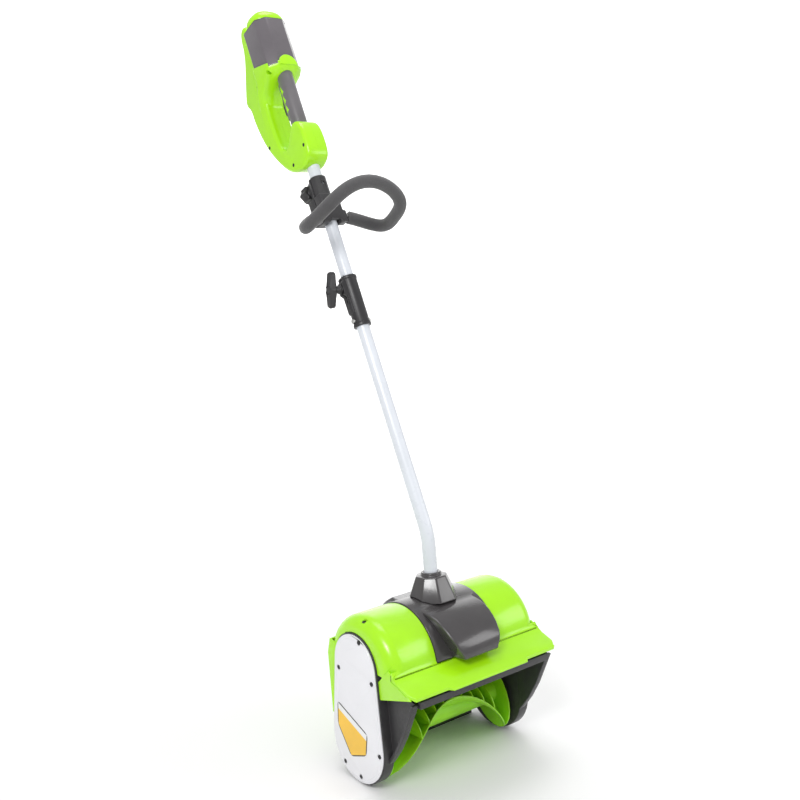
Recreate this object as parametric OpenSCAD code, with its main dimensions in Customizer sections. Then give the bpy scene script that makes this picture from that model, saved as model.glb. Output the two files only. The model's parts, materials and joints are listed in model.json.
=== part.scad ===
// Cordless snow shovel: a powered head with one horizontal rotor, a bent two-piece pole,
// a loop handle, and a rear D-handle with a push-in battery.
// Millimetres. X is across the machine, the intake faces -Y, Z is up, and the ground is Z = 0.
// The origin lies under the middle of the scraper edge.

/* [Head] */
// Clear width between the two side plates
intake_w = 305; // [285:1:325]
// Radius that the rotor blades sweep
rotor_r = 73; // [68:1:74]
// Height of the rotor axis above the ground
rotor_z = 75; // [75:0.5:78]
// Radius of the round barrel over the motor
barrel_r = 96; // [94:1:98]
// Thickness of the moulded walls
wall = 3; // [2.5:0.1:3.4]

/* [Drive] */
// Pitch radius of the small pulley on the motor
motor_pulley_r = 12; // [10:0.5:14]
// Pitch radius of the large pulley on the rotor
rotor_pulley_r = 36; // [30:0.5:40]
// Outside radius of the motor can
motor_r = 36; // [30:1:38]

/* [Pole] */
// Outside diameter of both pole tubes
pole_d = 25.4; // [25:0.1:25.8]
// Wall thickness of the pole tubes
pole_wall = 1.3; // [1:0.1:2]
// Lean of the neck, in degrees from upright
neck_lean = 7.6; // [6:0.1:9]
// Lean of the long straight part, in degrees from upright
pole_lean = 28.17; // [26:0.01:30]
// Radius of the bend between neck and pole
bend_r = 120; // [100:1:140]

/* [Handles] */
// Radius of the foam on the loop handle
foam_r = 12.5; // [11:0.5:14]
// Half width of the loop before it is rounded out
loop_half_w = 111; // [100:1:120]
// Half depth of the loop in front of the pole
loop_half_d = 68; // [62:1:74]
// How far the sides of the loop droop
loop_droop = 58; // [40:1:65]
// Outside radius of the rear grip
grip_r = 16; // [15:0.5:17]
// Half width of the rear handle housing
housing_half_w = 25; // [23:1:27]

/* [Battery] */
// Half width of the battery
battery_half_w = 38; // [36:1:39]
// Length of the battery case
battery_len = 104; // [95:1:110]

/* [Hidden] */
$fn = 64;
fit = 0.05;
gap = 0.3;
half_in = intake_w / 2;
housing_x = half_in + 21.5;
cover_x = housing_x + 4;
rotor_y = -60;
motor_y = -51;
motor_z = 215;
barrel_y = -60;
barrel_z = 211;
barrel_x = half_in + 19.5;
barrel_round = 25;
cover_half = 74;
chamber_r = 78;
lip_y = -206;
screw_r = 3.6;
shaft_r = 6;
bearing_r = 14;
pole_r = pole_d / 2;
neck_y = -69;
neck_z = 200;
neck_len = 199;
bend_angle = pole_lean - neck_lean;
straight_start = -36.8;
bend_end = neck_len + bend_r * sin(bend_angle);
bend_out = bend_r * (1 - cos(bend_angle));
pole_y = neck_y + bend_end * sin(neck_lean) + bend_out * cos(neck_lean) - straight_start * sin(pole_lean);
pole_z = neck_z + bend_end * cos(neck_lean) - bend_out * sin(neck_lean) - straight_start * cos(pole_lean);
coupler_top = 452;
coupler_foot = 350;
coupler_r = 16;
joint_s = 398;
upper_end = 792;
bolt_s = 362;
knob_s = 428;
loop_s = 577;
clamp_foot = 566;
clamp_top = 620;
clamp_knob_s = 646;
battery_s = 905;
battery_front = -22;
battery_rear = 41;
cap_s = battery_s + battery_len;
// Screw places on the side covers, as [y, z]
COVER_SCREWS = [[-66, 266], [-102, 203], [-124, 77], [-71, 15], [-24, 24], [-6, 199]];
// Screw places on the rear handle housing, as [y, s] beside the pole, and the length of each screw
HANDLE_SCREWS = [[-24, 722, 30], [26, 706, 30], [86, 778, 30], [-1, 895, 5.5], [64, 904, 30]];

// ---------- shared shapes ----------

// Extrudes a side outline, drawn as [y, z], from x0 to x1
module along_x(x0, x1) {
    translate([x0, 0, 0]) rotate([90, 0, 90]) linear_extrude(x1 - x0) children();
}

// A round bar along X
module bar_x(x0, x1, y, z, r) {
    translate([x0, y, z]) rotate([0, 90, 0]) cylinder(h = x1 - x0, r = r);
}

// The outline around two circles of different radius
module pill(a, ra, b, rb) {
    heading = atan2(b[1] - a[1], b[0] - a[0]);
    lean = acos((ra - rb) / norm(b - a));
    steps = 24;
    function arc(c, r, from, sweep) = [for (i = [0:steps])
        let (t = heading + from + sweep * i / steps) c + r * [cos(t), sin(t)]];
    polygon(concat(arc(a, ra, lean, 360 - 2 * lean), arc(b, rb, -lean, 2 * lean)));
}

// The side outline of the belt housings, grown by a margin
module side_outline(margin) {
    pill([motor_y, motor_z], 58 + margin, [rotor_y, rotor_z], 72 + margin);
}

// The frame of the neck: local Z runs up the neck
module in_neck() {
    translate([0, neck_y, neck_z]) rotate([-neck_lean, 0, 0]) children();
}

// The frame of the straight pole: local Z runs up the pole, local -Y points forward
module in_pole() {
    translate([0, pole_y, pole_z]) rotate([-pole_lean, 0, 0]) children();
}

// A tube with a wall, along local Z
module tube(z0, z1, r_out, r_in) {
    translate([0, 0, z0]) difference() {
        cylinder(h = z1 - z0, r = r_out);
        translate([0, 0, -1]) cylinder(h = z1 - z0 + 2, r = r_in);
    }
}

// Rounds an outline by cutting its corners, as many times as asked
function cut_corners(p) = [for (i = [0:len(p) - 1]) let (q = p[(i + 1) % len(p)])
    each [0.75 * p[i] + 0.25 * q, 0.25 * p[i] + 0.75 * q]];
function rounded(p, times) = times == 0 ? p : rounded(cut_corners(p), times - 1);

// The side faces of a skin over a row of equal rings, two triangles to each patch
function skin(rings, sides) = [for (i = [0:rings - 2], k = [0:sides - 1])
    let (m = (k + 1) % sides, a = i * sides, b = a + sides) each [[a + k, b + k, b + m], [a + k, b + m, a + m]]];

// A ring of points around one place on a path
function ring_about(path, i, r, sides, beside) = let (
    ahead = path[min(i + 1, len(path) - 1)] - path[max(i - 1, 0)],
    t = ahead / norm(ahead),
    side = cross(t, beside),
    u = side / norm(side),
    w = cross(t, u)
) [for (k = [0:sides - 1]) path[i] + r * (cos(k * 360 / sides) * u + sin(k * 360 / sides) * w)];

// A round bar swept along points, as one closed skin
module swept(path, r, sides = 10, beside = [1, 0.02, 0.03]) {
    n = len(path);
    points = [for (i = [0:n - 1]) each ring_about(path, i, r, sides, beside)];
    ends = [[for (k = [0:sides - 1]) k], [for (k = [sides - 1:-1:0]) (n - 1) * sides + k]];
    polyhedron(points, concat(skin(n, sides), ends), convexity = 6);
}

// A tube swept along points: its rings run out along the outside and back along the bore
module swept_tube(path, r_out, r_in, sides, beside = [1, 0.02, 0.03]) {
    n = len(path);
    rings = [for (i = [0:n - 1]) ring_about(path, i, r_out, sides, beside),
        for (i = [n - 1:-1:0]) ring_about(path, i, r_in, sides, beside)];
    faces = [for (i = [0:2 * n - 1], k = [0:sides - 1]) let (m = (k + 1) % sides, a = i * sides,
        b = ((i + 1) % (2 * n)) * sides) each [[a + k, b + k, b + m], [a + k, b + m, a + m]]];
    polyhedron([for (r = rings) each r], faces, convexity = 8);
}

// A pan-head screw along X, its head pointing along the given sign
module screw_x(x, y, z, sign, length, r = screw_r) {
    translate([x, y, z]) rotate([0, sign * 90, 0]) {
        difference() {
            cylinder(h = 1.8, r = r);
            translate([0, 0, 0.8]) cylinder(h = 2, r = r * 0.5, $fn = 6);
        }
        translate([0, 0, -length]) cylinder(h = length, r = 1.4, $fn = 24);
    }
}

// ---------- head ----------

module barrel_solid(inset) {
    r = barrel_r - inset;
    x = barrel_x - inset;
    k = barrel_round;
    translate([0, barrel_y, barrel_z]) rotate([0, 90, 0]) rotate_extrude($fn = 128) union() {
        translate([0, -x]) square([r - k, 2 * x]);
        translate([0, -x + k]) square([r, 2 * x - 2 * k]);
        for (s = [-1, 1]) translate([r - k, s * (x - k)]) circle(k);
    }
}

// The rear skirt that runs down from the barrel to its ledge
module skirt_outline(inset) {
    polygon([[36 - inset, 211], [21.5 - inset, 100 - 4 * inset], [10, 100 - 4 * inset], [-30, 205], [-30, 230],
        [30 - inset, 240]]);
}

module lip_plan() {
    edge = lip_y - 1;
    w = barrel_x + 0.5;
    polygon([[-w, -148], [-w, edge + 14], [-w + 9, edge], [-93, edge], [-87, edge - 8], [87, edge - 8],
        [93, edge], [w - 9, edge], [w, edge + 14], [w, -148]]);
}

module auger_shroud() color("yellowgreen") {
    difference() {
        union() {
            barrel_solid(0);
            along_x(-barrel_x, barrel_x) skirt_outline(0);
        }
        barrel_solid(wall);
        along_x(-barrel_x + wall, barrel_x - wall) skirt_outline(wall);
        translate([-200, -220, 60]) cube([400, 190, 162]);
        bar_x(-200, 200, rotor_y, rotor_z, chamber_r + wall + gap + 0.2);
        for (s = [-1, 1]) along_x(s > 0 ? half_in - 0.5 : -200, s > 0 ? 200 : -half_in + 0.5) side_outline(gap + wall);
        translate([-cover_half - 1, -170, 222]) cube([2 * cover_half + 2, 206, 120]);
        translate([-cover_half - 1, 20, 208]) cube([2 * cover_half + 2, 30, 60]);
        for (s = [-1, 1]) translate([s * (barrel_x - 10), -63, 0]) {
            translate([0, 0, 280]) cylinder(h = 20, r = 1.5, $fn = 24);
            translate([0, 0, 297.7]) cylinder(h = 10, r = 4.2);
        }
    }
    difference() {
        intersection() {
            along_x(-barrel_x - 1, barrel_x + 1)
                polygon([[-149, 240], [-156, 231.5], [-168, 225], [lip_y - 9, 211], [lip_y - 9, 207],
                    [lip_y, 207], [-168, 221], [-150, 224]]);
            translate([0, 0, 180]) linear_extrude(80) lip_plan();
        }
        barrel_solid(0);
        translate([-cover_half - 1, -156.2, 220]) cube([2 * cover_half + 2, 40, 40]);
    }
    for (s = [0, 1]) mirror([s, 0, 0]) difference() {
        along_x(-barrel_x, -barrel_x + wall)
            polygon([[lip_y + 4, 209], [-120, 179], [-105, 200], [-140, 240], [-156, 232], [-168, 223]]);
        along_x(-barrel_x - 1, -half_in) side_outline(gap + wall);
    }
}

// One side housing, drawn on the -X side
module side_housing_shape(motor_hole) {
    floor_x = -half_in - 3.5;
    difference() {
        union() {
            along_x(-housing_x, -half_in) side_outline(wall);
            along_x(floor_x, -half_in)
                polygon([[-198, 196], [-172, 129], [-155, 96], [-135, 66], [-60, 60], [-60, 200], [-110, 204]]);
            along_x(-half_in - 12, -half_in)
                polygon([[-199, 196], [-173.5, 129], [-156, 94], [-136, 64], [-131, 66], [-151, 97], [-168, 130],
                    [-193, 196]]);
        }
        difference() {
            along_x(-housing_x - 1, floor_x) side_outline(0);
            along_x(-half_in - 8, -half_in) translate([rotor_y, rotor_z]) circle(19);
            for (p = COVER_SCREWS) bar_x(-housing_x, -half_in, p[0], p[1], 5.5);
        }
        bar_x(-half_in - 9, -half_in + 1, rotor_y, rotor_z, bearing_r + fit / 2);
        if (motor_hole) bar_x(-half_in - 9, -half_in + 1, motor_y, motor_z, 9);
        for (p = COVER_SCREWS) bar_x(-housing_x - 1, -half_in - 9, p[0], p[1], 1.5);
    }
}

module belt_side_housing() color("dimgray") side_housing_shape(true);
module plain_side_housing() color("dimgray") mirror([1, 0, 0]) side_housing_shape(false);

module rotor_chamber() color("dimgray") {
    w = half_in - gap;
    reach = chamber_r + wall;
    difference() {
        along_x(-w, w) union() {
            difference() {
                translate([rotor_y, rotor_z]) circle(reach);
                translate([rotor_y, rotor_z]) circle(chamber_r);
                polygon([[-160, -20], [0, -20], [0, 25], [rotor_y, rotor_z], [rotor_y - 28, 170], [-200, 170]]);
            }
            polygon([[rotor_y - 22, rotor_z + reach - 3.2], [-196, 194], [-196, 190.8], [rotor_y - 21, rotor_z + chamber_r - 3]]);
            polygon([[-204, 202], [-204, 189], [-195, 189], [-195, 202]]);
        }
        in_neck() translate([0, 0, -60]) cylinder(h = 90, r = 8);
        at_scraper_screws() translate([0, 0, chamber_r - 2]) cylinder(h = 8, r = 2.2);
    }
}

// A point of the chamber wall in [y, z], at a radius and an angle from straight back
function wall_point(r, a) = [rotor_y + r * cos(a), rotor_z + r * sin(a)];

// Puts its children at the scraper screws, with local Z pointing out of the chamber wall
module at_scraper_screws() {
    for (i = [-1:1]) translate([i * 110, rotor_y, rotor_z]) rotate([-117, 0, 0]) children();
}

module scraper_blade() color("black") {
    inner = chamber_r + wall + 0.1;
    difference() {
        along_x(-half_in + 1, half_in - 1) polygon(concat([[-2, 0], [2.5, 0]],
            [for (a = [-38:6:-20]) wall_point(inner + 3.5, a)], [for (a = [-20:-6:-38]) wall_point(inner, a)]));
        at_scraper_screws() translate([0, 0, inner - 3]) cylinder(h = 12, r = 2.2);
    }
}

module scraper_screws() color("silver") at_scraper_screws() {
    translate([0, 0, chamber_r + wall + 3.65]) cylinder(h = 3, r = 4.4, $fn = 6);
    translate([0, 0, chamber_r + 0.2]) cylinder(h = 7, r = 2.1);
}

// One side cover, drawn on the -X side
module side_cover_shape() {
    difference() {
        union() {
            along_x(-housing_x - 2.5, -housing_x - fit) side_outline(0.5);
            along_x(-housing_x - 3.4, -housing_x - 2.4) side_outline(-2.5);
            along_x(-cover_x, -housing_x - 3.3) side_outline(-7);
        }
        for (p = COVER_SCREWS) {
            bar_x(-cover_x - 1, -housing_x - 2.2, p[0], p[1], screw_r + 1.2);
            bar_x(-cover_x - 1, -half_in, p[0], p[1], 1.7);
        }
    }
}

module belt_side_cover() color("whitesmoke") side_cover_shape();
module plain_side_cover() color("whitesmoke") mirror([1, 0, 0]) side_cover_shape();

module belt_cover_screws() color("black") {
    for (p = COVER_SCREWS) screw_x(-housing_x - 2.2, p[0], p[1], -1, 14);
}
module plain_cover_screws() color("black") {
    for (p = COVER_SCREWS) screw_x(housing_x + 2.2, p[0], p[1], 1, 14);
}

module side_label() color("gold") {
    along_x(-cover_x - 0.35, -cover_x - 0.05)
        polygon([[-2, 134], [-3, 89], [-43, 42], [-88, 62], [-91, 104]]);
}

module shroud_screws() color("black") {
    for (s = [-1, 1]) translate([s * (barrel_x - 10), -63, 0]) {
        translate([0, 0, 297.8]) difference() {
            cylinder(h = 2.4, r = 4);
            translate([0, 0, 1.2]) cylinder(h = 2, r = 2, $fn = 6);
        }
        translate([0, 0, 284]) cylinder(h = 14, r = 1.4, $fn = 24);
    }
}

// An arc about the barrel axis in [y, z], from one angle above straight back to another
function about_barrel(r, from, to) = [for (i = [0:24]) let (a = from + (to - from) * i / 24)
    [barrel_y + r * cos(a), barrel_z + r * sin(a)]];

// The middle of the motor cover from the side: a nose over the lip, a flat top and a round back
module cover_outline(inset) {
    i = inset;
    polygon(concat([[-144 + i, 224], [-150 + i, 231 + i], [-184 + i, 237 + i], [-189 + i, 243], [-183 + i, 262 - 0.5 * i],
        [-158 + 0.6 * i, 285 - i], [-132 + 0.3 * i, 299 - i], [-104, 303 - i]], about_barrel(104 - i, 62, 2),
        [[34 - i, 214.6], [34 - i, 224]]));
}

// The nose of the motor cover from the front, as [x, z], narrower at the foot
module nose_outline(inset) {
    w = cover_half - 12 - inset;
    polygon([[-w, 310], [-w, 299], [6 - w, 279], [12 - w, 260], [21 - w, 243], [24 - w, 200], [w - 24, 200], [w - 21, 243],
        [w - 12, 260], [w - 6, 279], [w, 299], [w, 310]]);
}

// The solid of the motor cover, or its hollow if it is inset
module cover_solid(inset) {
    mid = cover_half - 12;
    intersection() {
        along_x(-mid + inset, mid - inset) cover_outline(inset);
        union() {
            translate([-mid, -130, 200]) cube([2 * mid, 180, 120]);
            translate([0, -129, 0]) rotate([90, 0, 0]) linear_extrude(70) nose_outline(inset);
        }
    }
    along_x(-cover_half + inset, cover_half - inset) polygon(concat(about_barrel(97.5 - inset, 168, 2),
        [[34 - inset, 214.6], [34 - inset, 224], [-144 + inset, 224]]));
}

module motor_cover() color("dimgray") {
    w = cover_half;
    difference() {
        cover_solid(0);
        cover_solid(wall);
        translate([-w + wall, -141, 200]) cube([2 * w - 2 * wall, 172, 26]);
        translate([-30, 30.9, 200]) cube([60, 10.1, 15]);
        bar_x(-w - 1, -w + 12, motor_y, motor_z, motor_r + 3);
        in_neck() translate([0, 0, 60]) cylinder(h = 80, r = 25);
        for (s = [-1, 1], k = [0:4]) translate([s * 46 - 12, 20, 226 + 8 * k]) cube([24, 40, 3.5]);
    }
}

module neck_collar() color("dimgray") difference() {
    union() {
        in_neck() translate([0, 0, 101.5]) rotate([0, 0, 22.5]) cylinder(h = 44, r1 = 48, r2 = 29.5, $fn = 8);
        in_neck() translate([0, 0, 145.5]) cylinder(h = 6, r = 19);
    }
    in_neck() translate([0, 0, 90]) cylinder(h = 80, r = pole_r + fit);
    in_neck() translate([0, 0, 90]) cylinder(h = 48, r = 17.3);
    translate([-80, -140, 270]) cube([160, 160, 33.1]);
    bar_x(-80, 80, barrel_y, barrel_z, 98);
}

module pole_socket() color("dimgray") difference() {
    union() {
        in_neck() translate([0, 0, -30]) cylinder(h = 166, r = 17);
        in_neck() translate([0, 0, 60]) rotate([0, 90, 0]) translate([0, 0, -24]) cylinder(h = 48, r = 5);
        for (s = [-1, 1]) translate([s * 24 - 4, -94, 170]) cube([8, 18, 60]);
        translate([-30, -92, 163]) cube([60, 40, 9]);
    }
    in_neck() translate([0, 0, 0]) cylinder(h = 140, r = pole_r + fit);
    in_neck() translate([0, 0, -60]) cylinder(h = 90, r = 8);
    in_neck() translate([-25, -9, -29]) cube([25, 18, 25]);
    bar_x(-150, -29, motor_y, motor_z, motor_r + 8);
    bar_x(-200, 200, rotor_y, rotor_z, chamber_r + wall + gap);
    along_x(-80, 80) polygon([[-82, 153], [-200, 190], [-200, 196], [-82, 159.6]]);
}

// ---------- drive ----------

module motor_bracket() color("silver") difference() {
    union() {
        bar_x(-139, -135.1, motor_y, motor_z, 52);
        for (a = [30:120:270]) bar_x(-half_in + fit, -139, motor_y + 45 * cos(a), motor_z + 45 * sin(a), 5);
    }
    bar_x(-160, -130, motor_y, motor_z, 10.05);
    for (a = [0:180:180]) bar_x(-160, -130, motor_y + 20 * cos(a), motor_z + 20 * sin(a), 2.2);
}

module motor_can() color("gray") difference() {
    union() {
        bar_x(-135, -45, motor_y, motor_z, motor_r);
        bar_x(-141, -135, motor_y, motor_z, 10);
    }
    bar_x(-132.5, -44, motor_y, motor_z, motor_r - 2.5);
    bar_x(-142, -132, motor_y, motor_z, 4.05);
}

module motor_end_bell() color("black") difference() {
    union() {
        bar_x(-44.95, -37, motor_y, motor_z, motor_r);
        bar_x(-37, -31, motor_y, motor_z, 11);
        for (s = [-1, 1]) translate([-37, motor_y + s * 24 - 4, motor_z + 6]) cube([7, 8, 1.2]);
    }
    bar_x(-46, -34, motor_y, motor_z, 4.05);
    for (a = [45:90:315]) bar_x(-46, -36, motor_y + 25 * cos(a), motor_z + 25 * sin(a), 5);
}

module armature_shaft() color("orangered") difference() {
    union() {
        bar_x(-171.5, -34.5, motor_y, motor_z, 4);
        bar_x(-124, -64, motor_y, motor_z, 21);
        bar_x(-60, -50, motor_y, motor_z, 11);
    }
    for (a = [0:45:315]) bar_x(-125, -63, motor_y + 20 * cos(a), motor_z + 20 * sin(a), 3.2);
}

// A toothed pulley with two flanges and a bore
module pulley(y, z, r, bore) {
    teeth = round(2 * PI * r / 5);
    tooth = [[0, r], [0.45, r], [0.55, r - 1], [0.9, r - 1]];
    difference() {
        union() {
            along_x(-170.5, -161.5) translate([y, z]) polygon([for (k = [0:teeth - 1]) each
                [for (q = tooth) let (a = (k + q[0]) * 360 / teeth) q[1] * [cos(a), sin(a)]]]);
            for (x = [-171.5, -161.5]) bar_x(x, x + 1, y, z, r + 2);
        }
        bar_x(-172, -160, y, z, bore);
    }
}

module motor_pulley() color("silver") pulley(motor_y, motor_z, motor_pulley_r, 4 + fit / 2);
module rotor_pulley() color("silver") pulley(rotor_y, rotor_z, rotor_pulley_r, shaft_r + fit / 2);

module drive_belt() color("black") difference() {
    along_x(-170, -162) pill([motor_y, motor_z], motor_pulley_r + 1.6, [rotor_y, rotor_z], rotor_pulley_r + 1.6);
    along_x(-171, -161) pill([motor_y, motor_z], motor_pulley_r + 0.1, [rotor_y, rotor_z], rotor_pulley_r + 0.2);
}

module rotor_shaft() color("silver") difference() {
    bar_x(-171.5, half_in + 9, rotor_y, rotor_z, shaft_r);
    translate([-172, rotor_y - 8, rotor_z + 4.6]) cube([12, 16, 4]);
}

module belt_side_bearing() color("silver") bearing(-half_in - 8);
module plain_side_bearing() color("silver") bearing(half_in + 0.5);
module bearing(x) difference() {
    bar_x(x, x + 7.5, rotor_y, rotor_z, bearing_r);
    bar_x(x - 1, x + 9, rotor_y, rotor_z, shaft_r + fit / 2);
    for (s = [0, 1]) translate([s * 7.5, 0, 0]) difference() {
        bar_x(x - 0.6, x + 0.6, rotor_y, rotor_z, 11.5);
        bar_x(x - 0.6, x + 0.6, rotor_y, rotor_z, 8.5);
    }
}

// Angle of the blade tip above straight forward, at a place across the rotor
function blade_angle(x) = 43 - 90 * pow(x / 137, 2);

// A point of the rotor in [y, z], measured from its axis
function rotor_point(x, radius, turn) = let (a = blade_angle(x) + turn) [-radius * cos(a), radius * sin(a)];

// One blade as a skin from the hub to the tip, twisted along the rotor
module blade(turn) {
    steps = 22;
    reach = [20, 38, 56, rotor_r - 0.2];
    half_t = 1.4;
    loop = concat([for (r = reach) [r, half_t]], [for (i = [3:-1:0]) [reach[i], -half_t]]);
    m = len(loop);
    points = [for (i = [0:steps]) let (x = -141 + 282 * i / steps) each [for (q = loop)
        let (p = rotor_point(x, q[0], turn + q[1] * 57.3 / q[0])) [x, rotor_y + p[0], rotor_z + p[1]]]];
    ends = [[for (k = [0:m - 1]) k], [for (k = [m - 1:-1:0]) steps * m + k]];
    polyhedron(points, concat(skin(steps + 1, m), ends), convexity = 8);
}

// An oval plate across the rotor, from one angle of its rim to another
module fin(x, thick, a0, a1) {
    wide = rotor_r - 0.2;
    turn = blade_angle(x);
    steps = 24;
    rim = [for (i = [0:steps]) let (t = a0 + (a1 - a0) * i / steps)
        [-(wide * cos(t) * cos(turn) - 48 * sin(t) * sin(turn)), wide * cos(t) * sin(turn) + 48 * sin(t) * cos(turn)]];
    along_x(x - thick / 2, x + thick / 2) translate([rotor_y, rotor_z])
        polygon(a1 - a0 < 360 ? concat([[0, 0]], rim) : [for (i = [0:steps - 1]) rim[i]]);
}

module rotor() color("yellowgreen") difference() {
    union() {
        bar_x(-half_in + 3.5, half_in - 3.5, rotor_y, rotor_z, 22);
        for (turn = [0, 180]) blade(turn);
        for (x = [-88, -66, -44, -22, 0, 22, 44, 66, 88]) fin(x, 2, 0, 180);
        for (s = [-1, 1]) fin(s * 142, 3, 0, 360);
    }
    bar_x(-half_in, half_in, rotor_y, rotor_z, shaft_r + fit / 2);
    bar_x(-half_in + 20, half_in - 20, rotor_y, rotor_z, 19);
}

// ---------- pole ----------

// Places along the middle of the pole, in the frame of the machine
function neck_point(u) = [0, neck_y + u * sin(neck_lean), neck_z + u * cos(neck_lean)];
function pole_point(s) = [0, pole_y + s * sin(pole_lean), pole_z + s * cos(pole_lean)];
function bend_point(a) = neck_point(neck_len) + bend_r * [0,
    (1 - cos(a)) * cos(neck_lean) + sin(a) * sin(neck_lean),
    sin(a) * cos(neck_lean) - (1 - cos(a)) * sin(neck_lean)];
CABLE_ROUTE = concat([[-25, -52, 224], [-24, -54, 208], [-23, -62, 192], [-14, -70, 184], [-5, -73, 185]],
    [for (u = [4, 60, 120, 190]) neck_point(u)],
    [for (a = [5:5:15]) bend_point(a)], [for (s = [-30, 60, 160, 260, 340]) pole_point(s)]);

module lower_pole() color("gainsboro") swept_tube(concat([neck_point(0), neck_point(neck_len)],
    [for (a = [3:3:18]) bend_point(a)], [pole_point(straight_start), pole_point(joint_s)]),
    pole_r, pole_r - pole_wall, 36);

module lower_cable() color("black") swept(CABLE_ROUTE, 3.5, 8);

module cable_socket() color("black") in_pole() difference() {
    tube(341, 372, pole_r - pole_wall - fit, 2);
    for (s = [-1, 1]) translate([s * 5, 0, 350]) cylinder(h = 30, r = 1.3, $fn = 24);
    translate([-12, 0, bolt_s]) rotate([0, 90, 0]) cylinder(h = 24, r = 2.7);
}

module coupler_sleeve() color("black") in_pole() difference() {
    union() {
        translate([0, 0, coupler_foot]) cylinder(h = coupler_top - coupler_foot, r = coupler_r);
        for (s = [0, 1]) translate([0, 0, coupler_foot + s * (coupler_top - coupler_foot - 6)]) cylinder(h = 6, r = coupler_r + 1.2);
        rotate([0, 0, 90]) translate([-9, 0, 0]) rotate([90, 0, 90]) linear_extrude(18)
            polygon([[10, 374], [17.5, 378], [18, 412], [24, 417], [24, 439], [18, 444], [18, 450], [10, 450]]);
    }
    translate([0, 0, coupler_foot - 1]) cylinder(h = 110, r = pole_r + 2 * fit);
    translate([-30, -1.5, 400]) cube([20, 3, 60]);
    translate([-20, 0, bolt_s]) rotate([0, 90, 0]) cylinder(h = 40, r = 2.6);
    translate([-12, 0, knob_s]) rotate([0, -90, 0]) cylinder(h = 20, r = 4.05);
}

module coupler_bolt() color("silver") in_pole() translate([0, 0, bolt_s]) rotate([0, 90, 0]) {
    translate([0, 0, -20]) cylinder(h = 3.6, r = 4.6);
    translate([0, 0, -17]) cylinder(h = 38, r = 2.5);
}

module coupler_nut() color("silver") in_pole() translate([16.3, 0, bolt_s]) rotate([0, 90, 0]) difference() {
    cylinder(h = 4, r = 4.6, $fn = 6);
    translate([0, 0, -1]) cylinder(h = 6, r = 2.5 + fit / 2);
}

module t_knob() color("dimgray") in_pole() translate([0, 0, knob_s]) rotate([pole_lean, 0, 0]) rotate([0, 0, 90]) {
    rotate([-90, 0, 0]) {
        translate([0, 0, 14]) cylinder(h = 14, r = 4);
        translate([0, 0, 24.4]) cylinder(h = 4, r = 8.5);
        translate([0, 0, 28]) cylinder(h = 13, r1 = 7.5, r2 = 6.5, $fn = 48);
        translate([0, 0, 39]) cylinder(h = 14, r = 8.5);
    }
    for (s = [-1, 1]) hull() {
        translate([0, 46, 0]) rotate([-90, 0, 0]) translate([0, 0, -7]) cylinder(h = 14, r = 7, $fn = 32);
        translate([0, 40, s * 28]) rotate([-90, 0, 0]) cylinder(h = 11, r = 6.5, $fn = 32);
    }
}

module upper_pole() color("gainsboro") in_pole() difference() {
    tube(joint_s + 1, upper_end, pole_r, pole_r - pole_wall);
    translate([-20, 0, 780]) rotate([0, 90, 0]) cylinder(h = 40, r = 2.6);
}

module cable_plug() color("black") in_pole() {
    difference() {
        translate([0, 0, 373]) cylinder(h = 50, r = pole_r - pole_wall - 2 * fit);
        translate([0, 0, 400]) cylinder(h = 30, r = 3.6);
    }
    for (s = [-1, 1]) translate([s * 5, 0, 367.6]) cylinder(h = 8, r = 1.2, $fn = 24);
}

module upper_cable() color("black") swept([pole_point(401), pole_point(500), pole_point(620), pole_point(740),
    pole_point(808)], 3.4, 8);

// ---------- loop handle ----------

// A place on the middle of the loop, at a turn from 0 to 360, beside the pole
function loop_point(t) = let (x = loop_half_w * sin(t) * (1 + 0.08 * cos(t) + 0.18 * cos(2 * t)))
    [x, -11 - loop_half_d * (1 - cos(t)), loop_s - loop_droop * pow(x / loop_half_w, 2)];
loop_start = 8;

// Part of the loop as a round bar, starting some degrees inside the clamp's reach
module loop_bar(inside, r, sides, steps) {
    first = loop_start + inside;
    swept([for (i = [0:steps]) loop_point(first + (360 - 2 * first) * i / steps)], r, sides, [0.02, 0.03, 1]);
}

module loop_core() color("silver") in_pole() loop_bar(0, 6, 10, 46);

module loop_foam() color("gray") in_pole() difference() {
    loop_bar(6, foam_r, 18, 52);
    loop_bar(0, 6.1, 10, 46);
}

// Outline of the loop clamp across the pole, as [x, y], from the front or the rear
module clamp_block(front) {
    y0 = front ? -22 : 1;
    difference() {
        union() {
            translate([-22, y0, clamp_foot]) cube([44, 21, clamp_top - clamp_foot]);
            intersection() {
                translate([0, 0, clamp_top - 1]) cylinder(h = 43, r = 17.4);
                translate([-20, y0, clamp_top - 1]) cube([40, 21, 43]);
            }
            if (!front) translate([-11, 1, clamp_top - 1]) cube([22, 19, 41]);
            if (front) for (s = [-1, 1]) translate([s * 20 - 8, -22, clamp_foot - 6]) cube([16, 21, 24]);
        }
        translate([0, 0, clamp_foot - 10]) cylinder(h = 120, r = pole_r + 2 * fit);
        translate([0, -30, clamp_knob_s]) rotate([-90, 0, 0]) cylinder(h = 60, r = 2.6);
        if (front) loop_bar(-1, 6.15, 10, 46);
    }
}

module loop_clamp_front() color("dimgray") in_pole() clamp_block(true);
module loop_clamp_rear() color("dimgray") in_pole() clamp_block(false);

module loop_knob() color("black") in_pole() translate([0, 0, clamp_knob_s]) rotate([-90, 0, 0]) {
    translate([0, 0, 20.3]) cylinder(h = 6, r = 10);
    translate([0, 0, 25]) for (a = [0, 45]) rotate([0, 0, a]) translate([-14, -14, 0]) cube([28, 28, 20]);
    translate([0, 0, 14]) cylinder(h = 8, r = 2.5);
}

// ---------- rear handle ----------

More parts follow.
